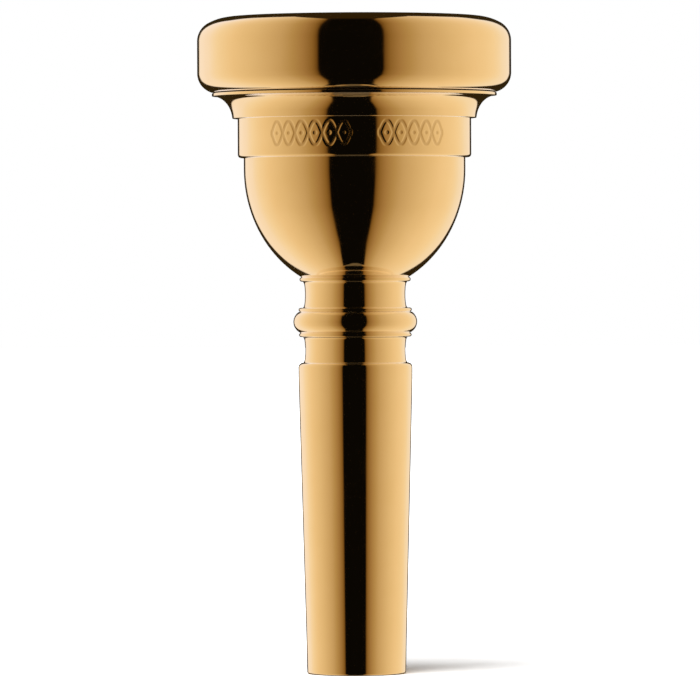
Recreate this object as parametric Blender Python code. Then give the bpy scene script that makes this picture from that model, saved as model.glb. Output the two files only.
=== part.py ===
"""Screw-rim mouthpiece for a large-shank trombone, in metres, with +Z up.

Three turned brass pieces screw together on the Z axis: the tapered shank at the bottom, the cup with
its outer band, and the rim that the player's lips rest on. A rubber seal ring sits at the foot of each
male thread. The origin is the centre of the shank's open end, which is also the lowest point.
The lengths below are in millimetres. Radii are measured from the Z axis, and heights from the origin.
"""

import math

import bmesh
import bpy

MM = 0.001
SEGMENTS = 40

# Both threads are right-handed: M32x1 holds the rim on the cup, M10x1 holds the cup on the shank
PITCH = 1.0
THREAD_DEPTH = 0.54
THREAD_CLEARANCE = 0.12
MALE_TURNS = 4
FEMALE_TURNS = 3
RUN_OUT_TURNS = 0.3
THREAD_MARGIN = 0.05
SPIGOT_THREAD_RADIUS = 16.0
SPIGOT_THREAD_START = 75.15
STUD_THREAD_RADIUS = 5.0
STUD_THREAD_START = 37.1

# One pitch of a ridge: (height along the pitch, share of the thread's depth)
MALE_RIDGE = ((0, 0), (5 / 16, 1), (7 / 16, 1), (12 / 16, 0))
FEMALE_RIDGE = ((7 / 16, 0), (12 / 16, 1), (16 / 16, 1), (21 / 16, 0))

# Tapered shank, with a shoulder and a neck above it
SHANK_END_RADIUS = 6.31
SHANK_TAPER = 0.0258
SHANK_EDGE = 0.25
TAPER_TOP = 37.7
SHOULDER_RADIUS = 7.29
SHOULDER_CORNER = 0.6
SHOULDER_TOP = 39.75
LOWER_NECK = {"radius": 6.41, "height": 41.4, "curve": 5.4}
SHANK_TOP = 43.0
SEAT_GAP = 0.05

# Air passage, from the shank's open end up to the throat
BORE_END_RADIUS = 5.2
BORE_JOINT_RADIUS = 3.75
THROAT_RADIUS = 3.45
THROAT_BOTTOM = 53.5

# Collar under the bowl: disc, bead, disc, neck, disc
GROOVE_DEPTH = 0.15
GROOVE_WIDTH = 0.05
LOWER_DISC = {"radius": 7.19, "bottom": SHANK_TOP + SEAT_GAP, "top": 43.53}
BEAD = {"radius": 7.9, "height": 44.96, "curve": 1.53}
MIDDLE_DISC = {"radius": 7.23, "bottom": 46.25, "top": 46.75}
UPPER_NECK = {"radius": 6.4, "height": 48.56, "curve": 4.7}
UPPER_DISC = {"radius": 7.1, "bottom": 50.1, "top": 50.66}

# Outside of the cup: bowl, band, step, cove and the flange under the rim
BOWL_RADIUS = 14.15
BOWL_CENTRE = 64.47
BOWL_DEPTH = 15.78
BAND_RADIUS = 14.91
BAND_BOTTOM = 65.93
BAND_CORNER = 0.4
BAND_TOP = 70.95
COVE_CENTRE = 70.68
COVE_RISE = 3.13
COVE_REACH = 2.555
COVE_TOP_RADIUS = 18.14
FLANGE_RADIUS = 18.19
FLANGE_TOP = 74.15

# Inside of the cup
INNER_BOWL_CENTRE = 77.0
INNER_BOWL_DEPTH = 19.0
THROAT_MOUTH_RADIUS = 5.0

# Rim
BITE_RADIUS = 12.85
RIM_RADIUS = 20.05
RIM_BOTTOM = FLANGE_TOP + SEAT_GAP
RIM_LOWER_CORNER = 2.53
RIM_UPPER_CORNER = 2.64
RIM_SIDE_TOP = 80.8
UPPER_CORNER_DEGREES = 61.3
OUTER_CROWN_CURVE = 6.5
INNER_CROWN_CURVE = 5.0
INNER_CROWN_DEGREES = 25.0

# Threaded spigot on the cup and its recess in the rim
SPIGOT_TOP = 80.6
SPIGOT_CHAMFER = 0.4
RECESS_TOP = 80.75

# Threaded stud under the cup and its socket in the shank
STUD_END = 36.65
STUD_CHAMFER = 0.3
SOCKET_BOTTOM = 36.5

# Seal rings and the counterbores that clear them
SPIGOT_SEAL = {"radius": 16.02, "height": 74.64, "section": 0.46}
STUD_SEAL = {"radius": 5.02, "height": 42.57, "section": 0.44}
RIM_COUNTERBORE_RADIUS = 16.6
RIM_COUNTERBORE_TOP = 75.35
SHANK_COUNTERBORE_RADIUS = 5.65
SHANK_COUNTERBORE_BOTTOM = 42.05


def arc(centre, across, up, start, end, steps):
    """Points on an ellipse from the angle start to the angle end, in degrees from outwards to upwards."""
    points = []
    for step in range(steps + 1):
        angle = math.radians(start + (end - start) * step / steps)
        points.append((centre[0] + across * math.cos(angle), centre[1] + up * math.sin(angle)))
    return points


def neck_arc(neck, bottom, top, steps):
    """The hollow curve of a neck between two heights, from the bottom up."""
    centre = (neck["radius"] + neck["curve"], neck["height"])
    start = 180 + math.degrees(math.asin((neck["height"] - bottom) / neck["curve"]))
    end = 180 - math.degrees(math.asin((top - neck["height"]) / neck["curve"]))
    return arc(centre, neck["curve"], neck["curve"], start, end, steps)


def bead_arc(bottom, top, steps):
    """The outer half of the bead between two heights, from the bottom up."""
    centre = (BEAD["radius"] - BEAD["curve"], BEAD["height"])
    start = math.degrees(math.asin((bottom - BEAD["height"]) / BEAD["curve"]))
    end = math.degrees(math.asin((top - BEAD["height"]) / BEAD["curve"]))
    return arc(centre, BEAD["curve"], BEAD["curve"], start, end, steps)


def disc_side(disc):
    """The upright side of a disc, from the bottom up."""
    return [(disc["radius"], disc["bottom"]), (disc["radius"], disc["top"])]


def groove(disc, height):
    """The bottom of the narrow groove that sets a disc off from the bead."""
    return [(disc["radius"] - GROOVE_DEPTH, height)]


def collar_outline():
    """Outside of the collar, from the cup's underside up to the bowl."""
    bead_bottom = LOWER_DISC["top"] + GROOVE_WIDTH
    bead_top = MIDDLE_DISC["bottom"] - GROOVE_WIDTH
    outline = disc_side(LOWER_DISC) + groove(LOWER_DISC, LOWER_DISC["top"])
    outline += bead_arc(bead_bottom, bead_top, 6)
    outline += groove(MIDDLE_DISC, MIDDLE_DISC["bottom"]) + disc_side(MIDDLE_DISC)
    outline += neck_arc(UPPER_NECK, MIDDLE_DISC["top"], UPPER_DISC["bottom"], 5)
    return outline + disc_side(UPPER_DISC)


def bowl_and_band_outline():
    """Outside of the bowl, the band, the step, the cove and the flange, from the bottom up."""
    bowl_start = -math.degrees(math.asin((BOWL_CENTRE - UPPER_DISC["top"]) / BOWL_DEPTH))
    cove_start = 180 - math.degrees(math.asin((BAND_TOP - COVE_CENTRE) / COVE_RISE))
    corner_centre = (BAND_RADIUS - BAND_CORNER, BAND_BOTTOM + BAND_CORNER)
    outline = arc((0, BOWL_CENTRE), BOWL_RADIUS, BOWL_DEPTH, bowl_start, 0, 8)
    outline += [(BOWL_RADIUS, BAND_BOTTOM)]
    outline += arc(corner_centre, BAND_CORNER, BAND_CORNER, -90, 0, 2)
    outline += [(BAND_RADIUS, BAND_TOP)]
    outline += arc((COVE_TOP_RADIUS, COVE_CENTRE), COVE_REACH, COVE_RISE, cove_start, 90, 5)
    return outline + [(FLANGE_RADIUS, COVE_CENTRE + COVE_RISE), (FLANGE_RADIUS, FLANGE_TOP)]


def inner_bowl_outline():
    """Inside of the cup, from the spigot's top down to the throat, whose mouth is rounded over."""
    bowl_turn = math.acos(THROAT_MOUTH_RADIUS / BITE_RADIUS)
    mouth_height = INNER_BOWL_CENTRE - INNER_BOWL_DEPTH * math.sin(bowl_turn)
    slope = math.atan(BITE_RADIUS / INNER_BOWL_DEPTH * math.tan(bowl_turn))
    curve = (THROAT_MOUTH_RADIUS - THROAT_RADIUS) / (1 - math.cos(slope))
    mouth_centre = (THROAT_RADIUS + curve, mouth_height - curve * math.sin(slope))
    outline = [(BITE_RADIUS, SPIGOT_TOP)]
    outline += arc((0, INNER_BOWL_CENTRE), BITE_RADIUS, INNER_BOWL_DEPTH, 0, -math.degrees(bowl_turn), 7)
    mouth = arc(mouth_centre, curve, curve, 180 - math.degrees(slope), 180, 3)
    return outline + mouth[1:] + [(THROAT_RADIUS, THROAT_BOTTOM)]


def rim_crown_outline():
    """Top of the rim, from the bite over the crown to the outer side, as four arcs that join smoothly."""
    outer_turn = math.radians(UPPER_CORNER_DEGREES)
    inner_turn = math.radians(90 + INNER_CROWN_DEGREES)
    corner_centre = (RIM_RADIUS - RIM_UPPER_CORNER, RIM_SIDE_TOP)
    step_in = RIM_UPPER_CORNER - OUTER_CROWN_CURVE
    outer_centre = (
        corner_centre[0] + step_in * math.cos(outer_turn),
        corner_centre[1] + step_in * math.sin(outer_turn),
    )
    inner_centre = (outer_centre[0], outer_centre[1] + OUTER_CROWN_CURVE - INNER_CROWN_CURVE)
    edge_radius = inner_centre[0] + INNER_CROWN_CURVE * math.cos(inner_turn)
    bite_curve = (edge_radius - BITE_RADIUS) / (1 + math.cos(inner_turn))
    bite_height = inner_centre[1] + (INNER_CROWN_CURVE - bite_curve) * math.sin(inner_turn)
    bite_centre = (BITE_RADIUS + bite_curve, bite_height)
    crown_end = math.degrees(inner_turn)
    outline = arc(bite_centre, bite_curve, bite_curve, 180, crown_end, 3)
    outline += arc(inner_centre, INNER_CROWN_CURVE, INNER_CROWN_CURVE, crown_end, 90, 2)[1:]
    outline += arc(outer_centre, OUTER_CROWN_CURVE, OUTER_CROWN_CURVE, 90, UPPER_CORNER_DEGREES, 3)[1:]
    return outline + arc(corner_centre, RIM_UPPER_CORNER, RIM_UPPER_CORNER, UPPER_CORNER_DEGREES, 0, 4)[1:]


def bore_radius(height):
    """Radius of the air passage below the throat, which widens evenly through the stud, then the shank."""
    if height > STUD_END:
        share = (THROAT_BOTTOM - height) / (THROAT_BOTTOM - STUD_END)
        return THROAT_RADIUS + share * (BORE_JOINT_RADIUS - THROAT_RADIUS)
    return BORE_JOINT_RADIUS + (1 - height / STUD_END) * (BORE_END_RADIUS - BORE_JOINT_RADIUS)


def add_vertex(mesh, radius, column, height):
    angle = 2 * math.pi * column / SEGMENTS
    place = (radius * math.cos(angle), radius * math.sin(angle), height)
    return mesh.verts.new([MM * length for length in place])


def ring(mesh, point):
    """One circle of vertices at (radius, height)."""
    return [add_vertex(mesh, point[0], column, point[1]) for column in range(SEGMENTS)]


def join_rings(mesh, first, second):
    for column in range(SEGMENTS):
        after = (column + 1) % SEGMENTS
        mesh.faces.new((first[column], first[after], second[after], second[column]))


def helix_row(mesh, turn, shape, thread):
    """One line of vertices along the thread, which climbs one pitch in a turn."""
    offset, share = shape
    row = []
    for column in range(SEGMENTS):
        along = turn + column / SEGMENTS
        fade = max(0, min(1, along / RUN_OUT_TURNS, (thread["turns"] - along) / RUN_OUT_TURNS))
        radius = thread["base"] + (thread["crest"] - thread["base"]) * share * fade
        row.append(add_vertex(mesh, radius, column, thread["start"] + PITCH * (along + offset)))
    return row


def join_thread(mesh, below, above, thread):
    """A helical ridge between two plain rings. One turn on, a row meets the row of the next ridge."""
    ridge = thread["ridge"]
    rows = [helix_row(mesh, turn, shape, thread) for turn in range(thread["turns"]) for shape in ridge]
    rows.append(helix_row(mesh, thread["turns"], ridge[0], thread))
    per_turn = len(ridge)
    last = SEGMENTS - 1
    for column in range(last):
        mesh.faces.new((below[column], below[column + 1], rows[0][column + 1], rows[0][column]))
        mesh.faces.new((rows[-1][column], rows[-1][column + 1], above[column + 1], above[column]))
        for low, high in zip(rows, rows[1:]):
            mesh.faces.new((low[column], low[column + 1], high[column + 1], high[column]))
    for number in range(len(rows) - 1 - per_turn):
        low, high = rows[number], rows[number + 1]
        next_low, next_high = rows[number + per_turn], rows[number + per_turn + 1]
        mesh.faces.new((low[last], next_low[0], next_high[0], high[last]))
    foot = [below[last], below[0]] + [row[0] for row in rows[: per_turn + 1]]
    head = [above[0], above[last]] + [row[last] for row in reversed(rows[-per_turn - 1 :])]
    for chain, hub in ((foot, rows[0][last]), (head, rows[-1][0])):
        for first, second in zip(chain, chain[1:]):
            mesh.faces.new((hub, first, second))


def turned_piece(name, outlines, threads, origin, material, parent):
    """A closed body of revolution. Each thread joins the end of one outline to the start of the next."""
    mesh = bmesh.new()
    surfaces = []
    for outline in outlines:
        rings = [ring(mesh, point) for point in outline]
        for first, second in zip(rings, rings[1:]):
            join_rings(mesh, first, second)
        surfaces.append(rings)
    for number, thread in enumerate(threads):
        end = surfaces[number][-1]
        start = surfaces[(number + 1) % len(surfaces)][0]
        if thread is None:
            join_rings(mesh, end, start)
        else:
            below, above = sorted((end, start), key=lambda circle: circle[0].co.z)
            join_thread(mesh, below, above, thread)
    bmesh.ops.recalc_face_normals(mesh, faces=mesh.faces)
    bmesh.ops.translate(mesh, verts=mesh.verts, vec=(0, 0, -MM * origin))
    data = bpy.data.meshes.new(name)
    mesh.to_mesh(data)
    mesh.free()
    data.shade_smooth()
    data.set_sharp_from_angle(angle=math.radians(25))
    data.materials.append(material)
    piece = bpy.data.objects.new(name, data)
    bpy.context.scene.collection.objects.link(piece)
    piece.parent = parent
    piece["height"] = origin
    piece.location.z = MM * (origin - (parent["height"] if parent else 0))
    return piece


def male_thread(crest, start):
    base = crest - THREAD_DEPTH
    return {"base": base, "crest": crest, "start": start, "turns": MALE_TURNS, "ridge": MALE_RIDGE}


def female_thread(male_crest, start):
    base = male_crest + THREAD_CLEARANCE
    crest = base - THREAD_DEPTH
    return {"base": base, "crest": crest, "start": start, "turns": FEMALE_TURNS, "ridge": FEMALE_RIDGE}


def thread_ends(thread):
    """Points on the plain surface just below and just above a thread."""
    foot = thread["start"] + PITCH * thread["ridge"][0][0] - THREAD_MARGIN
    head = foot + PITCH * (thread["turns"] + 1) + 2 * THREAD_MARGIN
    return (thread["base"], foot), (thread["base"], head)


def make_shank(brass):
    """Tapered tube that goes into the instrument. The cup's stud screws into its top."""
    thread = female_thread(STUD_THREAD_RADIUS, STUD_THREAD_START)
    foot, head = thread_ends(thread)
    socket = thread["base"]
    shoulder_centre = (SHOULDER_RADIUS - SHOULDER_CORNER, SHOULDER_TOP - SHOULDER_CORNER)
    outline = [head, (socket, SHANK_COUNTERBORE_BOTTOM)]
    outline += [(SHANK_COUNTERBORE_RADIUS, SHANK_COUNTERBORE_BOTTOM), (SHANK_COUNTERBORE_RADIUS, SHANK_TOP)]
    outline += reversed(neck_arc(LOWER_NECK, SHOULDER_TOP, SHANK_TOP, 5))
    outline += arc(shoulder_centre, SHOULDER_CORNER, SHOULDER_CORNER, 90, 0, 3)[1:]
    outline += [(SHANK_END_RADIUS + SHANK_TAPER * TAPER_TOP, TAPER_TOP)]
    outline += [(SHANK_END_RADIUS, SHANK_EDGE), (SHANK_END_RADIUS - SHANK_EDGE, 0)]
    outline += [(bore_radius(0), 0), (bore_radius(SOCKET_BOTTOM), SOCKET_BOTTOM)]
    outline += [(socket, SOCKET_BOTTOM), foot]
    return turned_piece("shank", [outline], [thread], 0, brass, None)


def make_cup(brass, parent):
    """Bowl with a threaded spigot for the rim above it and a threaded stud for the shank below it."""
    stud_thread = male_thread(STUD_THREAD_RADIUS, STUD_THREAD_START)
    spigot_thread = male_thread(SPIGOT_THREAD_RADIUS, SPIGOT_THREAD_START)
    stud_foot, stud_head = thread_ends(stud_thread)
    spigot_foot, spigot_head = thread_ends(spigot_thread)
    stud, spigot = stud_thread["base"], spigot_thread["base"]
    inside = [spigot_head, (spigot - SPIGOT_CHAMFER, SPIGOT_TOP)]
    inside += inner_bowl_outline()
    inside += [(bore_radius(STUD_END), STUD_END), (stud - STUD_CHAMFER, STUD_END), stud_foot]
    outside = [stud_head, (stud, LOWER_DISC["bottom"])]
    outside += collar_outline() + bowl_and_band_outline()
    outside += [(spigot, FLANGE_TOP), spigot_foot]
    threads = [stud_thread, spigot_thread]
    return turned_piece("cup", [inside, outside], threads, LOWER_DISC["bottom"], brass, parent)


def make_rim(brass, parent):
    """Rounded ring that the lips rest on, with a threaded recess that takes the cup's spigot."""
    thread = female_thread(SPIGOT_THREAD_RADIUS, SPIGOT_THREAD_START)
    foot, head = thread_ends(thread)
    recess = thread["base"]
    corner_centre = (RIM_RADIUS - RIM_LOWER_CORNER, RIM_BOTTOM + RIM_LOWER_CORNER)
    outline = [head, (recess, RECESS_TOP), (BITE_RADIUS, RECESS_TOP)]
    outline += rim_crown_outline()
    outline += arc(corner_centre, RIM_LOWER_CORNER, RIM_LOWER_CORNER, 0, -90, 5)
    outline += [(RIM_COUNTERBORE_RADIUS, RIM_BOTTOM), (RIM_COUNTERBORE_RADIUS, RIM_COUNTERBORE_TOP)]
    outline += [(recess, RIM_COUNTERBORE_TOP), foot]
    return turned_piece("rim", [outline], [thread], RIM_BOTTOM, brass, parent)


def make_seal(name, seal, rubber, parent):
    """Round-section seal ring at the foot of a male thread."""
    centre = (seal["radius"], seal["height"])
    outline = arc(centre, seal["section"], seal["section"], 0, 315, 7)
    return turned_piece(name, [outline], [None], seal["height"], rubber, parent)


def make_material(name, colour, roughness, metallic):
    material = bpy.data.materials.new(name)
    material.use_nodes = True
    shader = material.node_tree.nodes["Principled BSDF"]
    shader.inputs["Base Color"].default_value = (*colour, 1)
    shader.inputs["Roughness"].default_value = roughness
    shader.inputs["Metallic"].default_value = metallic
    return material


def main():
    for piece in list(bpy.data.objects):
        bpy.data.objects.remove(piece, do_unlink=True)
    shank = make_shank(make_material("gold_plated_shank", (0.86, 0.57, 0.21), 0.12, 1))
    rubber = make_material("black_rubber", (0.015, 0.015, 0.016), 0.55, 0)
    stud_seal = make_seal("shank_seal", STUD_SEAL, rubber, shank)
    cup = make_cup(make_material("gold_plated_cup", (0.88, 0.59, 0.22), 0.1, 1), stud_seal)
    spigot_seal = make_seal("rim_seal", SPIGOT_SEAL, rubber, cup)
    make_rim(make_material("gold_plated_rim", (0.9, 0.62, 0.25), 0.08, 1), spigot_seal)


main()
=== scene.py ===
"""Looks of the screw-rim mouthpiece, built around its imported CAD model.

Each CAD node is replaced by a smooth closed mesh of the same piece: polished gold plate with softened
edges, rounded screw threads, an engraved ornament on the band, and two rubber seal rings.
The lengths of the piece are in millimetres, radii are measured from the Z axis and heights from the
shank's open end. -Y is the front, and azimuths run from there towards +X, in degrees.
"""

import math

import bmesh
import bpy
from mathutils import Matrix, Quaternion, Vector


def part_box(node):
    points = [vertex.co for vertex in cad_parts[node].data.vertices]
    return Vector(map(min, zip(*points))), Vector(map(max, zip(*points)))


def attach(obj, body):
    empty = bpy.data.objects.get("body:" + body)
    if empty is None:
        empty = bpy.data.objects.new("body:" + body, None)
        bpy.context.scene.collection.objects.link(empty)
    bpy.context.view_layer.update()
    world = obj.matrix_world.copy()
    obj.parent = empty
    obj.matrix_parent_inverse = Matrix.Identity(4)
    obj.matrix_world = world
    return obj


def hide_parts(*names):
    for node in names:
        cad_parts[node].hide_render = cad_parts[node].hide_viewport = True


MM = 0.001

# Columns of vertices round the axis, and where the front is, in turns from +X
COLUMNS = 180
FRONT_TURN = 0.75

# Softening of sharp corners, in millimetres and degrees
EDGE_CURVE = 0.09
EDGE_SUPPORT = 0.03
EDGE_ROOM_SHARE = 0.4
SAME_POINT = 1e-6
SHARP_DEGREES = 14
EDGE_STEP_DEGREES = 18

# Steps of the curves in an outline
ARC_STEP_DEGREES = 3
CORNER_STEP_DEGREES = 9
SEAL_STEP_DEGREES = 12
NECK_STEPS = 14

# Threads
PITCH = 1.0
THREAD_DEPTH = 0.54
THREAD_CLEARANCE = 0.12
MALE_TURNS = 4
FEMALE_TURNS = 3
RUN_OUT_TURNS = 0.3
THREAD_MARGIN = 0.05
RIDGE_ROUNDING = 0.03
SPIGOT_THREAD_RADIUS = 16.0
SPIGOT_THREAD_START = 75.15
STUD_THREAD_RADIUS = 5.0
STUD_THREAD_START = 37.1

# One pitch of a ridge: (height along the pitch, share of the thread's depth)
MALE_RIDGE = ((0, 0), (5 / 16, 1), (7 / 16, 1), (12 / 16, 0))
FEMALE_RIDGE = ((7 / 16, 0), (12 / 16, 1), (16 / 16, 1), (21 / 16, 0))

# Tapered shank, with a shoulder and a neck above it
SHANK_END_RADIUS = 6.31
SHANK_TAPER = 0.0258
SHANK_EDGE_WIDTH = 0.6
SHANK_EDGE_HEIGHT = 0.25
TAPER_TOP = 37.7
SHOULDER_RADIUS = 7.29
SHOULDER_CORNER = 0.6
SHOULDER_TOP = 39.75
LOWER_NECK = {"radius": 6.41, "flare": 0.27}

# A neck flares evenly by one share of its flare, and close to its ends by the other
NECK_END_SHARE = 0.5
NECK_END_POWER = 12

# Air passage
BORE_END_RADIUS = 5.2
BORE_JOINT_RADIUS = 3.75
THROAT_RADIUS = 3.45
THROAT_BOTTOM = 53.5

# Collar under the bowl
GROOVE_DEPTH = 0.15
GROOVE_WIDTH = 0.05
LOWER_DISC = {"radius": 7.19, "bottom": 43.05, "top": 43.53}
BEAD = {"radius": 7.9, "height": 44.96, "curve": 1.53}
MIDDLE_DISC = {"radius": 7.23, "bottom": 46.25, "top": 46.75}
UPPER_NECK = {"radius": 6.4, "flare": 0.3}
UPPER_DISC = {"radius": 7.1, "bottom": 50.1, "top": 50.66}

# Outside of the cup
BOWL_RADIUS = 14.15
BOWL_CENTRE = 64.47
BOWL_DEPTH = 15.78
BAND_RADIUS = 14.91
BAND_BOTTOM = 65.93
BAND_CORNER = 0.4
BAND_TOP = 70.95
COVE_CENTRE = 70.68
COVE_RISE = 3.13
COVE_REACH = 2.555
COVE_TOP_RADIUS = 18.14
FLANGE_TOP = 74.175

# Inside of the cup
INNER_BOWL_CENTRE = 77.0
INNER_BOWL_DEPTH = 19.0
THROAT_MOUTH_RADIUS = 5.0

# Rim
BITE_RADIUS = 12.85
RIM_LOWER_CORNER = 2.53
RIM_UPPER_CORNER = 2.64
RIM_SIDE_TOP = 80.8
UPPER_CORNER_DEGREES = 61.3
OUTER_CROWN_CURVE = 6.5
INNER_CROWN_CURVE = 5.0
INNER_CROWN_DEGREES = 25.0

# Spigot, stud and their recesses
SPIGOT_CHAMFER = 0.4
RECESS_TOP = 80.75
STUD_CHAMFER = 0.3
SOCKET_BOTTOM = 36.5
RIM_COUNTERBORE_RADIUS = 16.6
RIM_COUNTERBORE_TOP = 75.35
SHANK_COUNTERBORE_RADIUS = 5.65
SHANK_COUNTERBORE_BOTTOM = 42.05

# Engraved ornament on the band: two chains of crossing waves with a dot in each link
ORNAMENT_BOTTOM = 66.75
ORNAMENT_TOP = 70.75
ORNAMENT_MIDDLE = 68.85
ORNAMENT_RISE = 1.45
ORNAMENT_REACH_COLUMNS = 25
ORNAMENT_SPLIT = 7
ORNAMENT_ROWS = 50
CHAINS = ({"azimuth": -23.0, "links": 6}, {"azimuth": 30.0, "links": 5})
LINK_LENGTH = 1.85
STROKE_HALF_WIDTH = 0.27
STROKE_SLOPE = 0.15
STROKE_DEPTH = 0.04
DOT_HALF_WIDTH = 0.31

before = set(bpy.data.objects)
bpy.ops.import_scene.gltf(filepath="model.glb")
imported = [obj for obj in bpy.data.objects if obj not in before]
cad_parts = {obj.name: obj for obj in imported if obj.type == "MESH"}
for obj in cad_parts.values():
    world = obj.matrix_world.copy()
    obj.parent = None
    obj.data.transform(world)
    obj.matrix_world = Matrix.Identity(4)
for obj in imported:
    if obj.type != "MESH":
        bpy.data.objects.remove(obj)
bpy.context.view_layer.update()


def arc(centre, across, up, start, end, step_degrees=ARC_STEP_DEGREES):
    """Points on an ellipse between two angles, in degrees from outwards to upwards."""
    steps = max(3, math.ceil(abs(end - start) / step_degrees))
    points = []
    for step in range(steps + 1):
        angle = math.radians(start + (end - start) * step / steps)
        points.append((centre[0] + across * math.cos(angle), centre[1] + up * math.sin(angle)))
    return points


def neck_curve(neck, bottom, top):
    """The hollow side of a neck between two heights, from the bottom up. It flares most at its ends."""
    half = (top - bottom) / 2
    points = []
    for step in range(2 * NECK_STEPS + 1):
        along = math.sin(math.pi / 2 * (step / NECK_STEPS - 1))
        share = (1 - NECK_END_SHARE) * along ** 2 + NECK_END_SHARE * along ** NECK_END_POWER
        points.append((neck["radius"] + neck["flare"] * share, bottom + half * (1 + along)))
    return points


def bead_arc(bottom, top):
    """The outer half of the bead between two heights, from the bottom up."""
    centre = (BEAD["radius"] - BEAD["curve"], BEAD["height"])
    start = math.degrees(math.asin((bottom - BEAD["height"]) / BEAD["curve"]))
    end = math.degrees(math.asin((top - BEAD["height"]) / BEAD["curve"]))
    return arc(centre, BEAD["curve"], BEAD["curve"], start, end, 2 * ARC_STEP_DEGREES)


def disc_side(disc, start=-90, end=90):
    """The half-round side of a disc, or the part of it between two angles, from the bottom up."""
    half = (disc["top"] - disc["bottom"]) / 2
    centre = (disc["radius"] - half, disc["bottom"] + half)
    return arc(centre, half, half, start, end, CORNER_STEP_DEGREES)


def groove(disc, height):
    """The bottom of the narrow groove that sets a disc off from the bead."""
    return [(disc["radius"] - GROOVE_DEPTH, height)]


def groove_degrees(disc):
    """The angle on a disc's side where the groove begins."""
    half = (disc["top"] - disc["bottom"]) / 2
    return math.degrees(math.acos(1 - GROOVE_DEPTH / half))


def collar_outline():
    """Outside of the collar, from the cup's underside up to the bowl.

    The upper disc's last point is left out, because the bowl starts farther out than that.
    """
    outline = disc_side(LOWER_DISC, end=groove_degrees(LOWER_DISC))
    outline += groove(LOWER_DISC, LOWER_DISC["top"])
    outline += bead_arc(LOWER_DISC["top"] + GROOVE_WIDTH, MIDDLE_DISC["bottom"] - GROOVE_WIDTH)
    outline += groove(MIDDLE_DISC, MIDDLE_DISC["bottom"])
    outline += disc_side(MIDDLE_DISC, start=-groove_degrees(MIDDLE_DISC))
    outline += neck_curve(UPPER_NECK, MIDDLE_DISC["top"], UPPER_DISC["bottom"])
    return outline + disc_side(UPPER_DISC)[:-1]


def bowl_outline():
    """Outside of the bowl up to the lower edge of the ornament."""
    start = -math.degrees(math.asin((BOWL_CENTRE - UPPER_DISC["top"]) / BOWL_DEPTH))
    corner_centre = (BAND_RADIUS - BAND_CORNER, BAND_BOTTOM + BAND_CORNER)
    outline = arc((0, BOWL_CENTRE), BOWL_RADIUS, BOWL_DEPTH, start, 0)
    outline += [(BOWL_RADIUS, BAND_BOTTOM)]
    outline += arc(corner_centre, BAND_CORNER, BAND_CORNER, -90, 0, CORNER_STEP_DEGREES)
    return outline + [(BAND_RADIUS, ORNAMENT_BOTTOM)]


def cove_outline(flange_radius):
    """Outside of the cup above the ornament: the top of the band, the cove and the flange."""
    start = 180 - math.degrees(math.asin((BAND_TOP - COVE_CENTRE) / COVE_RISE))
    outline = [(BAND_RADIUS, ORNAMENT_TOP), (BAND_RADIUS, BAND_TOP)]
    outline += arc((COVE_TOP_RADIUS, COVE_CENTRE), COVE_REACH, COVE_RISE, start, 90)
    return outline + [(flange_radius, COVE_CENTRE + COVE_RISE), (flange_radius, FLANGE_TOP)]


def inner_bowl_outline(top):
    """Inside of the cup from its top down to the throat, whose mouth is rounded over."""
    bowl_turn = math.acos(THROAT_MOUTH_RADIUS / BITE_RADIUS)
    mouth_height = INNER_BOWL_CENTRE - INNER_BOWL_DEPTH * math.sin(bowl_turn)
    slope = math.atan(BITE_RADIUS / INNER_BOWL_DEPTH * math.tan(bowl_turn))
    curve = (THROAT_MOUTH_RADIUS - THROAT_RADIUS) / (1 - math.cos(slope))
    mouth_centre = (THROAT_RADIUS + curve, mouth_height - curve * math.sin(slope))
    outline = [(BITE_RADIUS, top)]
    outline += arc((0, INNER_BOWL_CENTRE), BITE_RADIUS, INNER_BOWL_DEPTH, 0, -math.degrees(bowl_turn))
    mouth = arc(mouth_centre, curve, curve, 180 - math.degrees(slope), 180, 2 * ARC_STEP_DEGREES)
    return outline + mouth[1:] + [(THROAT_RADIUS, THROAT_BOTTOM)]


def rim_crown_outline(rim_radius):
    """Top of the rim from the bite over the crown to the outer side: four arcs that join smoothly."""
    outer_turn = math.radians(UPPER_CORNER_DEGREES)
    inner_turn = math.radians(90 + INNER_CROWN_DEGREES)
    corner_centre = (rim_radius - RIM_UPPER_CORNER, RIM_SIDE_TOP)
    step_in = RIM_UPPER_CORNER - OUTER_CROWN_CURVE
    outer_centre = (
        corner_centre[0] + step_in * math.cos(outer_turn),
        corner_centre[1] + step_in * math.sin(outer_turn),
    )
    inner_centre = (outer_centre[0], outer_centre[1] + OUTER_CROWN_CURVE - INNER_CROWN_CURVE)
    edge_radius = inner_centre[0] + INNER_CROWN_CURVE * math.cos(inner_turn)
    bite_curve = (edge_radius - BITE_RADIUS) / (1 + math.cos(inner_turn))
    bite_height = inner_centre[1] + (INNER_CROWN_CURVE - bite_curve) * math.sin(inner_turn)
    bite_centre = (BITE_RADIUS + bite_curve, bite_height)
    crown_end = math.degrees(inner_turn)
    outline = arc(bite_centre, bite_curve, bite_curve, 180, crown_end)
    outline += arc(inner_centre, INNER_CROWN_CURVE, INNER_CROWN_CURVE, crown_end, 90)[1:]
    outline += arc(outer_centre, OUTER_CROWN_CURVE, OUTER_CROWN_CURVE, 90, UPPER_CORNER_DEGREES)[1:]
    return outline + arc(corner_centre, RIM_UPPER_CORNER, RIM_UPPER_CORNER, UPPER_CORNER_DEGREES, 0)[1:]


def bore_radius(height, stud_end):
    """Radius of the air passage, which widens evenly from the throat to the stud's end, and from there
    to the shank's end."""
    if height > stud_end:
        share = (THROAT_BOTTOM - height) / (THROAT_BOTTOM - stud_end)
        return THROAT_RADIUS + share * (BORE_JOINT_RADIUS - THROAT_RADIUS)
    return BORE_JOINT_RADIUS + (1 - height / stud_end) * (BORE_END_RADIUS - BORE_JOINT_RADIUS)


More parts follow.
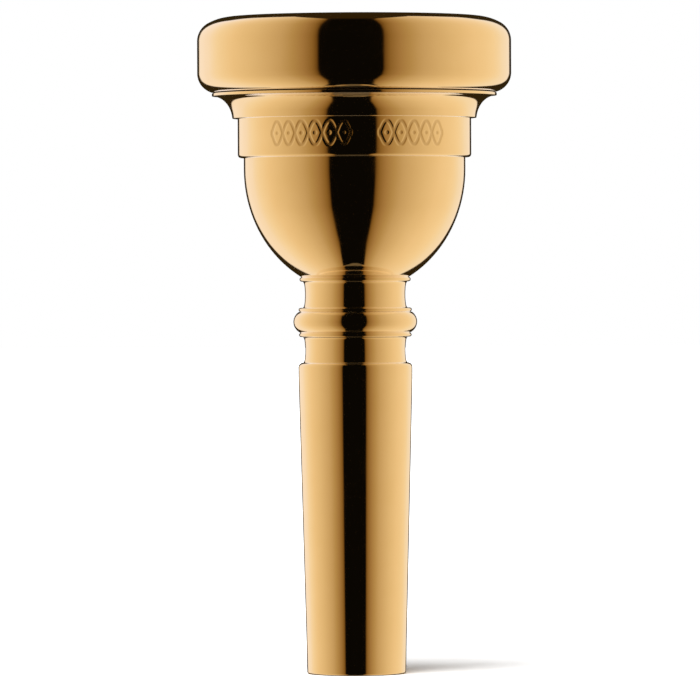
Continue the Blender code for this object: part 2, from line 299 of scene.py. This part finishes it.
def rounded_corner(before, corner, after):
    """Points that replace a corner: a curve, and a support point on the flat run at each side of it."""
    arriving = (corner - before).normalized()
    leaving = (after - corner).normalized()
    turn = arriving.angle(leaving)
    room = EDGE_ROOM_SHARE * min((corner - before).length, (after - corner).length)
    reach = min(EDGE_CURVE * math.tan(turn / 2), room)
    inwards = (leaving - arriving).normalized()
    along = (leaving + arriving).normalized()
    curve = reach / math.tan(turn / 2)
    centre = corner + inwards * curve / math.cos(turn / 2)
    steps = max(2, math.ceil(math.degrees(turn) / EDGE_STEP_DEGREES))
    support = min(EDGE_SUPPORT, room / 2)
    points = [corner - arriving * (reach + support)]
    for step in range(steps + 1):
        angle = turn * (step / steps - 0.5)
        points.append(centre - inwards * curve * math.cos(angle) + along * curve * math.sin(angle))
    points.append(corner + leaving * (reach + support))
    return points


def softened(outline):
    """The outline with its sharp corners rounded. Its first and last points stay."""
    corners = [Vector(point) for point in outline]
    pairs = zip(corners, corners[1:])
    corners = [here for here, after in pairs if (after - here).length > SAME_POINT] + corners[-1:]
    points = [corners[0]]
    for before, corner, after in zip(corners, corners[1:], corners[2:]):
        turn = (corner - before).angle(after - corner)
        if turn > math.radians(SHARP_DEGREES):
            points += rounded_corner(before, corner, after)
        else:
            points.append(corner)
    return points + [corners[-1]]


def rounded_ridge(ridge):
    """A ridge with each corner cut into two points."""
    shape = []
    count = len(ridge)
    for number, (height, share) in enumerate(ridge):
        before_height, before_share = ridge[number - 1]
        after_height, after_share = ridge[(number + 1) % count]
        before_run = (height - before_height) % 1
        after_run = (after_height - height) % 1
        for sign, run, other in ((-1, before_run, before_share), (1, after_run, after_share)):
            step = RIDGE_ROUNDING / run
            shape.append((height + sign * RIDGE_ROUNDING, share + (other - share) * step))
    return shape


def thread(base, crest, start, turns, ridge):
    return {"base": base, "crest": crest, "start": start, "turns": turns, "ridge": rounded_ridge(ridge)}


def male_thread(crest, start):
    return thread(crest - THREAD_DEPTH, crest, start, MALE_TURNS, MALE_RIDGE)


def female_thread(male_crest, start):
    base = male_crest + THREAD_CLEARANCE
    return thread(base, base - THREAD_DEPTH, start, FEMALE_TURNS, FEMALE_RIDGE)


def thread_ends(thread):
    """Points on the plain surface just below and just above a thread."""
    foot = thread["start"] + PITCH * thread["ridge"][0][0] - THREAD_MARGIN
    head = foot + PITCH * (thread["turns"] + 1) + 2 * THREAD_MARGIN
    return (thread["base"], foot), (thread["base"], head)


def stroke_depth(distance, half_width):
    """Depth of a flat-bottomed stroke with sloping sides at a distance from its middle line."""
    share = max(0, min(1, (half_width - distance) / STROKE_SLOPE))
    return STROKE_DEPTH * share * share * (3 - 2 * share)


def engraved_depth(azimuth, height):
    """Depth of the ornament at a place on the band."""
    rise = height - ORNAMENT_MIDDLE
    deepest = 0
    for chain in CHAINS:
        length = chain["links"] * LINK_LENGTH
        along = math.radians(azimuth - chain["azimuth"]) * BAND_RADIUS + length / 2
        nearest = min(max(along, 0), length)
        phase = math.pi * nearest / LINK_LENGTH
        slope = ORNAMENT_RISE * math.pi / LINK_LENGTH * math.cos(phase)
        beyond = along - nearest
        for sign in (-1, 1):
            across = (rise - sign * ORNAMENT_RISE * math.sin(phase)) / math.hypot(1, slope)
            deepest = max(deepest, stroke_depth(math.hypot(across, beyond), STROKE_HALF_WIDTH))
        link = min(math.floor(nearest / LINK_LENGTH), chain["links"] - 1)
        middle = (link + 0.5) * LINK_LENGTH
        deepest = max(deepest, stroke_depth(math.hypot(along - middle, rise), DOT_HALF_WIDTH))
    return deepest


class Shell:
    """Vertices and faces of one closed turned piece. Each vertex knows how deeply it is engraved."""

    def __init__(self):
        self.places = []
        self.faces = []
        self.engraved = []

    def vertex(self, radius, turn, height, engraved=0.0):
        angle = 2 * math.pi * turn
        self.places.append((MM * radius * math.cos(angle), MM * radius * math.sin(angle), MM * height))
        self.engraved.append(engraved)
        return len(self.places) - 1

    def ring(self, point):
        """One circle of vertices at (radius, height)."""
        return [self.vertex(point[0], column / COLUMNS, point[1]) for column in range(COLUMNS)]

    def join_rings(self, first, second):
        for column in range(COLUMNS):
            after = (column + 1) % COLUMNS
            self.faces.append((first[column], first[after], second[after], second[column]))

    def surface(self, outline):
        """The rings of an outline, joined up. Returns the first and the last."""
        rings = [self.ring(point) for point in softened(outline)]
        for first, second in zip(rings, rings[1:]):
            self.join_rings(first, second)
        return rings[0], rings[-1]

    def helix_row(self, turn, shape, thread):
        """One line of vertices along the thread, which climbs one pitch in a turn."""
        offset, share = shape
        row = []
        for column in range(COLUMNS):
            along = turn + column / COLUMNS
            fade = max(0, min(1, along / RUN_OUT_TURNS, (thread["turns"] - along) / RUN_OUT_TURNS))
            radius = thread["base"] + (thread["crest"] - thread["base"]) * share * fade
            row.append(self.vertex(radius, along, thread["start"] + PITCH * (along + offset)))
        return row

    def join_thread(self, below, above, thread):
        """A helical ridge between two plain rings. Each row goes on as the same row of the next turn."""
        ridge = thread["ridge"]
        turns = range(thread["turns"])
        rows = [self.helix_row(turn, shape, thread) for turn in turns for shape in ridge]
        rows.append(self.helix_row(thread["turns"], ridge[0], thread))
        per_turn = len(ridge)
        last = COLUMNS - 1
        for column in range(last):
            after = column + 1
            self.faces.append((below[column], below[after], rows[0][after], rows[0][column]))
            self.faces.append((rows[-1][column], rows[-1][after], above[after], above[column]))
            for low, high in zip(rows, rows[1:]):
                self.faces.append((low[column], low[after], high[after], high[column]))
        for number in range(len(rows) - 1 - per_turn):
            low, high = rows[number], rows[number + 1]
            next_low, next_high = rows[number + per_turn], rows[number + per_turn + 1]
            self.faces.append((low[last], next_low[0], next_high[0], high[last]))
        foot = [below[last], below[0]] + [row[0] for row in rows[: per_turn + 1]]
        head = [above[0], above[last]] + [row[last] for row in reversed(rows[-per_turn - 1 :])]
        for chain, hub in ((foot, rows[0][last]), (head, rows[-1][0])):
            for first, second in zip(chain, chain[1:]):
                self.faces.append((hub, first, second))

    def engraved_row(self, first_column, height):
        """One fine row of vertices across the ornament, pressed in where it is engraved."""
        row = []
        for step in range(2 * ORNAMENT_REACH_COLUMNS * ORNAMENT_SPLIT + 1):
            turn = (first_column + step / ORNAMENT_SPLIT) / COLUMNS
            depth = engraved_depth(360 * (turn - FRONT_TURN), height)
            row.append(self.vertex(BAND_RADIUS - depth, turn, height, depth / STROKE_DEPTH))
        return row

    def join_ornament(self, below, above):
        """The band between two rings: a fine grid in front, and one plain face per column elsewhere."""
        first = round(FRONT_TURN * COLUMNS) - ORNAMENT_REACH_COLUMNS
        last = first + 2 * ORNAMENT_REACH_COLUMNS
        spacing = (ORNAMENT_TOP - ORNAMENT_BOTTOM) / (ORNAMENT_ROWS + 1)
        heights = [ORNAMENT_BOTTOM + spacing * (row + 1) for row in range(ORNAMENT_ROWS)]
        rows = [self.engraved_row(first, height) for height in heights]
        for low, high in zip(rows, rows[1:]):
            for step in range(len(low) - 1):
                self.faces.append((low[step], low[step + 1], high[step + 1], high[step]))
        for column in range(first, last):
            start = (column - first) * ORNAMENT_SPLIT
            end = start + ORNAMENT_SPLIT + 1
            self.faces.append([below[column], below[column + 1]] + rows[0][start:end][::-1])
            self.faces.append([above[column + 1], above[column]] + rows[-1][start:end])
        for column in range(last, first + COLUMNS):
            here = column % COLUMNS
            after = (column + 1) % COLUMNS
            right = [row[0] for row in rows] if after == first else []
            left = [row[-1] for row in reversed(rows)] if here == last else []
            self.faces.append([below[here], below[after]] + right + [above[after], above[here]] + left)


def closed_piece(name, shell, material, is_satin):
    """An object with the shell's mesh, facing outwards and smooth.

    Each vertex gets the two shares that the gold reads: how satin it is, and how deeply engraved.
    """
    data = bpy.data.meshes.new(name)
    data.from_pydata(shell.places, [], shell.faces)
    mesh = bmesh.new()
    mesh.from_mesh(data)
    bmesh.ops.recalc_face_normals(mesh, faces=mesh.faces)
    mesh.to_mesh(data)
    mesh.free()
    data.shade_smooth()
    satin = [float(is_satin(math.hypot(x, y) / MM, z / MM)) for x, y, z in shell.places]
    for label, shares in (("satin", satin), ("engraved", shell.engraved)):
        data.attributes.new(label, "FLOAT", "POINT").data.foreach_set("value", shares)
    data.materials.append(material)
    piece = bpy.data.objects.new(name, data)
    bpy.context.scene.collection.objects.link(piece)
    return piece


def add_piece(piece, node):
    """The piece stands for a CAD node: it rides on the node's body, and the node is hidden."""
    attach(piece, node)
    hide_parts(node)


def make_shank(gold):
    """Tapered tube that goes into the instrument. The cup's stud screws into its top."""
    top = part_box("shank")[1].z / MM
    stud_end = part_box("cup")[0].z / MM
    stud = female_thread(STUD_THREAD_RADIUS, STUD_THREAD_START)
    foot, head = thread_ends(stud)
    socket = stud["base"]
    shoulder_centre = (SHOULDER_RADIUS - SHOULDER_CORNER, SHOULDER_TOP - SHOULDER_CORNER)
    wall = SHANK_END_RADIUS - SHANK_EDGE_WIDTH
    outline = [head, (socket, SHANK_COUNTERBORE_BOTTOM)]
    outline += [(SHANK_COUNTERBORE_RADIUS, SHANK_COUNTERBORE_BOTTOM), (SHANK_COUNTERBORE_RADIUS, top)]
    outline += reversed(neck_curve(LOWER_NECK, SHOULDER_TOP, top))
    outline += arc(shoulder_centre, SHOULDER_CORNER, SHOULDER_CORNER, 90, 0, CORNER_STEP_DEGREES)[1:]
    outline += [(SHANK_END_RADIUS + SHANK_TAPER * TAPER_TOP, TAPER_TOP)]
    edge_centre = (wall, SHANK_EDGE_HEIGHT)
    outline += arc(edge_centre, SHANK_EDGE_WIDTH, SHANK_EDGE_HEIGHT, 0, -90, CORNER_STEP_DEGREES)
    outline += [(bore_radius(0, stud_end), 0), (bore_radius(SOCKET_BOTTOM, stud_end), SOCKET_BOTTOM)]
    outline += [(socket, SOCKET_BOTTOM), foot]
    shell = Shell()
    start, end = shell.surface(outline)
    shell.join_thread(end, start, stud)
    return closed_piece("tapered_shank", shell, gold, lambda radius, height: radius < wall)


def make_cup(gold):
    """Bowl with a threaded spigot for the rim above it and a threaded stud for the shank below it."""
    low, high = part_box("cup")
    stud_end, spigot_top, flange_radius = low.z / MM, high.z / MM, high.x / MM
    stud = male_thread(STUD_THREAD_RADIUS, STUD_THREAD_START)
    spigot = male_thread(SPIGOT_THREAD_RADIUS, SPIGOT_THREAD_START)
    stud_foot, stud_head = thread_ends(stud)
    spigot_foot, spigot_head = thread_ends(spigot)
    inside = [spigot_head, (spigot["base"] - SPIGOT_CHAMFER, spigot_top)]
    inside += inner_bowl_outline(spigot_top)
    inside += [(bore_radius(stud_end, stud_end), stud_end)]
    inside += [(stud["base"] - STUD_CHAMFER, stud_end), stud_foot]
    lower = [stud_head, (stud["base"], LOWER_DISC["bottom"])] + collar_outline() + bowl_outline()
    upper = cove_outline(flange_radius) + [(spigot["base"], FLANGE_TOP), spigot_foot]
    shell = Shell()
    inside_start, inside_end = shell.surface(inside)
    lower_start, lower_end = shell.surface(lower)
    upper_start, upper_end = shell.surface(upper)
    shell.join_thread(inside_end, lower_start, stud)
    shell.join_ornament(lower_end, upper_start)
    shell.join_thread(upper_end, inside_start, spigot)

    def is_satin(radius, height):
        return radius < THROAT_MOUTH_RADIUS or (radius > BITE_RADIUS and height > FLANGE_TOP)

    return closed_piece("engraved_cup", shell, gold, is_satin)


def make_rim(gold):
    """Rounded ring that the lips rest on, with a threaded recess that takes the cup's spigot."""
    low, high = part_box("rim")
    bottom, radius = low.z / MM, high.x / MM
    spigot = female_thread(SPIGOT_THREAD_RADIUS, SPIGOT_THREAD_START)
    foot, head = thread_ends(spigot)
    recess = spigot["base"]
    corner_centre = (radius - RIM_LOWER_CORNER, bottom + RIM_LOWER_CORNER)
    outline = [head, (recess, RECESS_TOP), (BITE_RADIUS, RECESS_TOP)]
    outline += rim_crown_outline(radius)
    outline += arc(corner_centre, RIM_LOWER_CORNER, RIM_LOWER_CORNER, 0, -90)
    outline += [(RIM_COUNTERBORE_RADIUS, bottom), (RIM_COUNTERBORE_RADIUS, RIM_COUNTERBORE_TOP)]
    outline += [(recess, RIM_COUNTERBORE_TOP), foot]
    shell = Shell()
    start, end = shell.surface(outline)
    shell.join_thread(end, start, spigot)

    def is_satin(radius, height):
        return BITE_RADIUS < radius < recess + THREAD_MARGIN and height < RECESS_TOP

    return closed_piece("polished_rim", shell, gold, is_satin)


def make_seal(name, node, rubber):
    """Moulded seal ring of round section."""
    low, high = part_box(node)
    section = (high.z - low.z) / 2 / MM
    centre = (high.x / MM - section, (high.z + low.z) / 2 / MM)
    shell = Shell()
    outline = arc(centre, section, section, 0, 360 - SEAL_STEP_DEGREES, SEAL_STEP_DEGREES)
    start, end = shell.surface(outline)
    shell.join_rings(end, start)
    return closed_piece(name, shell, rubber, lambda radius, height: False)


# Brightest value of a colour that a ramp can hold
RAMP_REACH = 2.5


class Graph:
    """Adds nodes to a node tree. An input takes a value or another node's output."""

    def __init__(self, tree):
        self.tree = tree
        tree.nodes.clear()

    def node(self, kind, inputs, **settings):
        node = self.tree.nodes.new(kind)
        for name, value in settings.items():
            setattr(node, name, value)
        for key, value in inputs.items():
            if isinstance(value, bpy.types.NodeSocket):
                self.tree.links.new(value, node.inputs[key])
            else:
                node.inputs[key].default_value = value
        return node.outputs

    def math(self, operation, *values):
        return self.node("ShaderNodeMath", dict(enumerate(values)), operation=operation)[0]

    def blend(self, share, first, second):
        """A colour between two colours."""
        return self.node("ShaderNodeMix", {0: share, 6: first, 7: second}, data_type="RGBA")[2]

    def step(self, value, start, end, low=0.0, high=1.0):
        """A smooth step from low to high as the value goes from start to end."""
        inputs = {0: value, 1: start, 2: end, 3: low, 4: high}
        return self.node("ShaderNodeMapRange", inputs, interpolation_type="SMOOTHSTEP")[0]

    def window(self, value, middle, half_width, softness):
        """A share that is one where the value is near the middle and zero elsewhere."""
        off = self.math("ABSOLUTE", self.math("SUBTRACT", value, middle))
        return self.step(off, half_width + softness, half_width - softness)

    def noise(self, place, scale, detail):
        inputs = {"Vector": place, "Scale": scale, "Detail": detail}
        return self.node("ShaderNodeTexNoise", inputs)[0]

    def attribute(self, name):
        return self.node("ShaderNodeAttribute", {}, attribute_name=name)["Fac"]

    def vector(self, x, y, z):
        return self.node("ShaderNodeCombineXYZ", {0: x, 1: y, 2: z})[0]

    def axes(self, vector):
        return self.node("ShaderNodeSeparateXYZ", {0: vector})

    def degrees(self, operation, value):
        """An inverse trigonometric function of the value, in degrees."""
        return self.math("DEGREES", self.math(operation, value))

    def ramp(self, angle, stops):
        """A colour up to RAMP_REACH that follows the stops (angle from -90 to 90, colour)."""
        node = self.tree.nodes.new("ShaderNodeValToRGB")
        self.tree.links.new(self.math("MULTIPLY_ADD", angle, 1 / 180, 0.5), node.inputs[0])
        elements = node.color_ramp.elements
        elements.remove(elements[1])
        for number, (place, colour) in enumerate(stops):
            position = place / 180 + 0.5
            element = elements.new(position) if number else elements[0]
            element.position = position
            element.color = (*[channel / RAMP_REACH for channel in colour], 1)
        inputs = {0: node.outputs[0], 1: (RAMP_REACH, RAMP_REACH, RAMP_REACH)}
        return self.node("ShaderNodeVectorMath", inputs, operation="MULTIPLY")[0]

    def curve(self, angle, stops, highest):
        """A number that follows the stops (angle from -90 to 90, number up to the highest)."""
        greys = [(place, (number * RAMP_REACH / highest,) * 3) for place, number in stops]
        return self.math("MULTIPLY", self.ramp(angle, greys), highest / RAMP_REACH)


def new_material(name):
    material = bpy.data.materials.new(name)
    material.use_nodes = True
    return material, Graph(material.node_tree)


# Gold plate. A noise has a scale per metre and a detail, and relief is in metres
GOLD_DARK = (0.93, 0.585, 0.215, 1)
GOLD_LIGHT = (0.97, 0.625, 0.25, 1)
ENGRAVED_BROWN = (0.42, 0.22, 0.06, 1)
ENGRAVED_BROWN_SHARE = 0.3
# Painted reflection: the near-white colour the gold takes where it shows in a reflection, so its
# mirrored copies look pale
GOLD_PAINTED_PALE_IN_REFLECTIONS = (1.0, 0.96, 0.9, 1)
MARK_NOISE = (14000.0, 2.0)
MARK_SHARE = 0.12
MARK_STRETCH = 0.02
WAVE_NOISE = (900.0, 1.0)
CLOUD_NOISE = (260.0, 4.0)
SPOT_NOISE = (1400.0, 3.0)
CLOUD_STEP = (0.3, 0.75)
CLOUD_ROUGHNESS = (0.045, 0.085)
SPOT_STEP = (0.62, 0.8)
SPOT_ROUGHNESS = (0.0, 0.04)
SATIN_ROUGHNESS = 0.2
ENGRAVED_ROUGHNESS = 0.15
POLISH_RELIEF = 4.0e-7
SATIN_RELIEF = 2.5e-6


def make_gold(name):
    """Polished gold plate: turning marks round the axis, cloudy polish, satin threads and bores, and a
    painted reflection, a near-white colour wherever the gold is seen mirrored in another surface.
    """
    material, graph = new_material(name)
    place = graph.node("ShaderNodeTexCoord", {})["Object"]
    x, y, z = graph.axes(place)
    x_squared = graph.math("MULTIPLY", x, x)
    y_squared = graph.math("MULTIPLY", y, y)
    radius = graph.math("SQRT", graph.math("ADD", x_squared, y_squared))
    across_x = graph.math("MULTIPLY", x, MARK_STRETCH)
    across_y = graph.math("MULTIPLY", y, MARK_STRETCH)
    around = graph.vector(across_x, across_y, graph.math("ADD", z, radius))
    satin = graph.attribute("satin")
    engraved = graph.attribute("engraved")
    marks = graph.noise(around, *MARK_NOISE)
    waves = graph.noise(around, *WAVE_NOISE)
    cloud = graph.noise(place, *CLOUD_NOISE)
    spots = graph.noise(place, *SPOT_NOISE)
    colour = graph.blend(cloud, GOLD_DARK, GOLD_LIGHT)
    brown_share = graph.math("MULTIPLY", engraved, ENGRAVED_BROWN_SHARE)
    colour = graph.blend(brown_share, colour, ENGRAVED_BROWN)
    # Painted reflection: seen in a reflection, the gold's colour turns near-white, which paints its
    # mirrored copies pale
    seen_again = graph.node("ShaderNodeLightPath", {})["Is Glossy Ray"]
    colour = graph.blend(seen_again, colour, GOLD_PAINTED_PALE_IN_REFLECTIONS)
    polish = graph.step(cloud, *CLOUD_STEP, *CLOUD_ROUGHNESS)
    polish = graph.math("ADD", polish, graph.step(spots, *SPOT_STEP, *SPOT_ROUGHNESS))
    roughness = graph.math("ADD", polish, graph.math("MULTIPLY", satin, SATIN_ROUGHNESS))
    roughness = graph.math("ADD", roughness, graph.math("MULTIPLY", engraved, ENGRAVED_ROUGHNESS))
    relief = graph.math("ADD", graph.math("MULTIPLY", marks, MARK_SHARE), waves)
    depth = graph.math("ADD", POLISH_RELIEF, graph.math("MULTIPLY", satin, SATIN_RELIEF))
    bump = graph.node("ShaderNodeBump", {"Strength": 1.0, "Distance": depth, "Height": relief})[0]
    inputs = {"Base Color": colour, "Metallic": 1.0, "Roughness": roughness, "Normal": bump}
    shader = graph.node("ShaderNodeBsdfPrincipled", inputs)[0]
    graph.node("ShaderNodeOutputMaterial", {0: shader})
    return material


# Rubber, with the scales and the relief in the same units
RUBBER_DARK = (0.010, 0.010, 0.011, 1)
RUBBER_LIGHT = (0.030, 0.030, 0.032, 1)
GRAIN_NOISE = (9000.0, 3.0)
GRAIN_RELIEF = 1.5e-5
GRAIN_STRENGTH = 0.5
GREASE_NOISE = (500.0, 2.0)
GREASE_STEP = (0.4, 0.65)
GREASE_ROUGHNESS = (0.62, 0.34)


def make_rubber():
    """Matt black rubber with a fine grain and a little grease from the threads."""
    material, graph = new_material("seal_rubber_black")
    place = graph.node("ShaderNodeTexCoord", {})["Object"]
    grain = graph.noise(place, *GRAIN_NOISE)
    grease = graph.noise(place, *GREASE_NOISE)
    colour = graph.blend(grain, RUBBER_DARK, RUBBER_LIGHT)
    roughness = graph.step(grease, *GREASE_STEP, *GREASE_ROUGHNESS)
    relief = {"Strength": GRAIN_STRENGTH, "Distance": GRAIN_RELIEF, "Height": grain}
    bump = graph.node("ShaderNodeBump", relief)[0]
    inputs = {"Base Color": colour, "Roughness": roughness, "Normal": bump}
    shader = graph.node("ShaderNodeBsdfPrincipled", inputs)[0]
    graph.node("ShaderNodeOutputMaterial", {0: shader})
    return material


# Studio round the object, as its polish mirrors it: pale walls left and right, with a dark gap between
# them that runs from the camera's side overhead and below, and a dark back straight behind the object.
# A place is named by the surface that mirrors it towards the camera: its facing from the front towards
# +X and its tilt upwards, in degrees.
GAP_CENTRE = -1.25
GAP_SOFTNESS = 0.6

# Half the width of the gap, by tilt
GAP_HALF_WIDTHS = (
    (-68, 22.0),
    (-62, 14.0),
    (-57, 11.0),
    (-49, 8.8),
    (-34, 8.7),
    (-27, 9.9),
    (-16, 11.5),
    (0, 12.1),
    (19, 11.9),
    (32, 11.3),
    (46, 10.0),
    (54, 9.1),
    (58, 10.5),
    (62, 15.0),
    (66, 24.0),
)

# Largest share of a surface's direction towards the camera at which it mirrors the dark back, by tilt
BACK_SHARES = (
    (-90, 0.45),
    (-61, 0.4),
    (-54, 0.34),
    (-45, 0.28),
    (-34, 0.23),
    (-20, 0.19),
    (0, 0.172),
    (30, 0.18),
    (45, 0.21),
    (60, 0.23),
    (66, 0.27),
    (67.5, 0.45),
)

# How much farther round the walls seem to be than they are, by tilt, which brightens them
WALL_SPREADS = (
    (-60, 2.1),
    (-49, 1.85),
    (-34, 1.4),
    (-16, 1.06),
    (0, 1.0),
    (38, 1.08),
    (49, 1.2),
    (60, 1.45),
    (67, 1.75),
    (75, 2.0),
)

# Light of the walls, by facing to their own side
BOTH_WALLS = (
    (12.3, (0.14, 0.08, 0.025)),
    (14.2, (0.265, 0.18, 0.075)),
    (17.9, (0.385, 0.29, 0.18)),
    (22, (0.475, 0.40, 0.27)),
    (27, (0.59, 0.53, 0.45)),
    (32, (0.67, 0.62, 0.56)),
    (40, (0.78, 0.75, 0.73)),
    (50, (0.89, 0.875, 0.91)),
)
LEFT_WALL = (
    (60, (0.965, 1.02, 1.2)),
    (67, (0.985, 1.08, 1.42)),
    (74, (1.0, 1.06, 1.25)),
    (80, (1.0, 0.98, 0.95)),
)
RIGHT_WALL = (
    (62, (0.96, 0.98, 1.05)),
    (70, (0.965, 1.04, 1.2)),
    (77, (0.97, 1.0, 1.05)),
    (82, (0.97, 0.95, 0.9)),
)

# The dark back, and the gap, which turns from black to the back's brown towards its top
BACK_BROWN = (0.028, 0.019, 0.006, 1)
BACK_SOFTNESS = 0.015
GAP_BLACK = (0.003, 0.003, 0.003, 1)
GAP_TOP_FADE = (52.0, 62.0)

# A pale strip across the gap, and a part of the gap that is grey in a reflection of a reflection
GLINT_TILT = -59.0
GLINT_HALF_HEIGHT = 2.0
GLINT_SOFTNESS = 0.5
GLINT = (0.55, 0.55, 0.56, 1)
LOW_PART_TILT = -40.0
LOW_PART_HALF_HEIGHT = 8.0
LOW_PART_SOFTNESS = 1.0
LOW_PART_SEEN_AGAIN = (0.15, 0.14, 0.13, 1)
DEPTH_BEFORE_SECOND_MIRRORING = 2.5

# Light on matt surfaces, and the background
EVEN_LIGHT = (0.02, 0.02, 0.02, 1)
WHITE = (1.0, 1.0, 1.0, 1)


def wall_stops():
    """The walls' light from the left to the right, by facing."""
    left = [(-angle, colour) for angle, colour in reversed(BOTH_WALLS + LEFT_WALL)]
    return left + list(BOTH_WALLS + RIGHT_WALL)


def make_studio():
    """World with a white background, even light for matt surfaces and the studio for polished ones."""
    world = bpy.data.worlds.new("studio")
    world.use_nodes = True
    world.cycles.sampling_method = "NONE"
    graph = Graph(world.node_tree)
    x, y, z = graph.axes(graph.node("ShaderNodeTexCoord", {})["Generated"])
    off_back = graph.math("SUBTRACT", 1.0, y)
    gap_slope = math.tan(math.radians(GAP_CENTRE))
    slope = graph.math("SUBTRACT", graph.math("DIVIDE", x, off_back), gap_slope)
    facing = graph.degrees("ARCTANGENT", graph.math("ABSOLUTE", slope))
    rise = graph.math("DIVIDE", z, graph.math("SQRT", graph.math("MULTIPLY", off_back, 2.0)))
    tilt = graph.degrees("ARCSINE", rise)
    towards_camera = graph.math("SQRT", graph.math("MULTIPLY", off_back, 0.5))
    inside_gap = graph.math("SUBTRACT", graph.curve(tilt, GAP_HALF_WIDTHS, 90), facing)
    inside_back = graph.math("SUBTRACT", graph.curve(tilt, BACK_SHARES, 1), towards_camera)
    gap = graph.step(inside_gap, -GAP_SOFTNESS, GAP_SOFTNESS)
    back = graph.step(inside_back, -BACK_SOFTNESS, BACK_SOFTNESS)
    spread = graph.math("MULTIPLY", slope, graph.curve(tilt, WALL_SPREADS, RAMP_REACH))
    walls = graph.ramp(graph.degrees("ARCTANGENT", spread), wall_stops())
    rays = graph.node("ShaderNodeLightPath", {})
    seen_again = graph.math("GREATER_THAN", rays["Ray Depth"], DEPTH_BEFORE_SECOND_MIRRORING)
    glint = graph.window(tilt, GLINT_TILT, GLINT_HALF_HEIGHT, GLINT_SOFTNESS)
    low_part = graph.window(tilt, LOW_PART_TILT, LOW_PART_HALF_HEIGHT, LOW_PART_SOFTNESS)
    low_part_again = graph.math("MULTIPLY", seen_again, low_part)
    gap_colour = graph.blend(graph.step(tilt, *GAP_TOP_FADE), GAP_BLACK, BACK_BROWN)
    gap_colour = graph.blend(glint, gap_colour, GLINT)
    gap_colour = graph.blend(low_part_again, gap_colour, LOW_PART_SEEN_AGAIN)
    studio = graph.blend(back, graph.blend(gap, walls, gap_colour), BACK_BROWN)
    lighting = graph.blend(rays["Is Glossy Ray"], EVEN_LIGHT, studio)
    seen = graph.blend(rays["Is Camera Ray"], lighting, WHITE)
    background = graph.node("ShaderNodeBackground", {"Color": seen, "Strength": 1.0})[0]
    graph.node("ShaderNodeOutputWorld", {0: background})
    bpy.context.scene.world = world


FLOOR_HALF_SIZE = 4.0
FLOOR_WHITE = (0.9, 0.9, 0.9, 1)


def make_floor():
    """Plain white floor, seen from above only, which the polish doesn't mirror."""
    material, graph = new_material("white_floor")
    white = graph.node("ShaderNodeBsdfDiffuse", {"Color": FLOOR_WHITE})[0]
    clear = graph.node("ShaderNodeBsdfTransparent", {})[0]
    underside = graph.node("ShaderNodeNewGeometry", {})["Backfacing"]
    shader = graph.node("ShaderNodeMixShader", {0: underside, 1: white, 2: clear})[0]
    graph.node("ShaderNodeOutputMaterial", {0: shader})
    data = bpy.data.meshes.new("floor")
    signs = ((-1, -1), (1, -1), (1, 1), (-1, 1))
    corners = [(x * FLOOR_HALF_SIZE, y * FLOOR_HALF_SIZE, 0) for x, y in signs]
    data.from_pydata(corners, [], [(0, 1, 2, 3)])
    data.materials.append(material)
    floor = bpy.data.objects.new("floor", data)
    floor.visible_glossy = False
    bpy.context.scene.collection.objects.link(floor)


# Angles in degrees, and the strength in watts per square metre
SUN_AZIMUTH = -22
SUN_ELEVATION = 72
SUN_SOFTNESS = 38
SUN_STRENGTH = 6.6


def make_key_light():
    """Broad soft light from high in front and a little to the left, with its shadow to the right."""
    data = bpy.data.lights.new("key", "SUN")
    data.energy = SUN_STRENGTH
    data.angle = math.radians(SUN_SOFTNESS)
    light = bpy.data.objects.new("key", data)
    light.rotation_euler = (math.radians(90 - SUN_ELEVATION), 0, math.radians(SUN_AZIMUTH))
    light.visible_glossy = False
    bpy.context.scene.collection.objects.link(light)


# Camera, in metres, with the lens in millimetres
CAMERA_DISTANCE = 0.9
CAMERA_HEIGHT = 0.051
CAMERA_SIDE = -0.00069
AIM_HEIGHT = 0.04135
LENS = 362.3
ROLL_DEGREES = -0.25
SEEN_TO = 20.0


def make_camera():
    """Long lens straight in front, a little above the object's middle and turned slightly downwards."""
    data = bpy.data.cameras.new("camera")
    data.lens = LENS
    data.clip_end = SEEN_TO
    camera = bpy.data.objects.new("camera", data)
    camera.location = (CAMERA_SIDE, -CAMERA_DISTANCE, CAMERA_HEIGHT)
    aim = Vector((CAMERA_SIDE, 0, AIM_HEIGHT)) - camera.location
    roll = Quaternion((0, 0, 1), math.radians(ROLL_DEGREES))
    camera.rotation_euler = (aim.to_track_quat("-Z", "Y") @ roll).to_euler()
    bpy.context.scene.collection.objects.link(camera)
    bpy.context.scene.camera = camera


gold = make_gold("gold_plate_polished")
rubber = make_rubber()
add_piece(make_shank(gold), "shank")
add_piece(make_cup(gold), "cup")
add_piece(make_rim(gold), "rim")
add_piece(make_seal("shank_seal_ring", "shank_seal", rubber), "shank_seal")
add_piece(make_seal("rim_seal_ring", "rim_seal", rubber), "rim_seal")
make_studio()
make_floor()
make_key_light()
make_camera()
bpy.context.scene.view_settings.view_transform = "Standard"
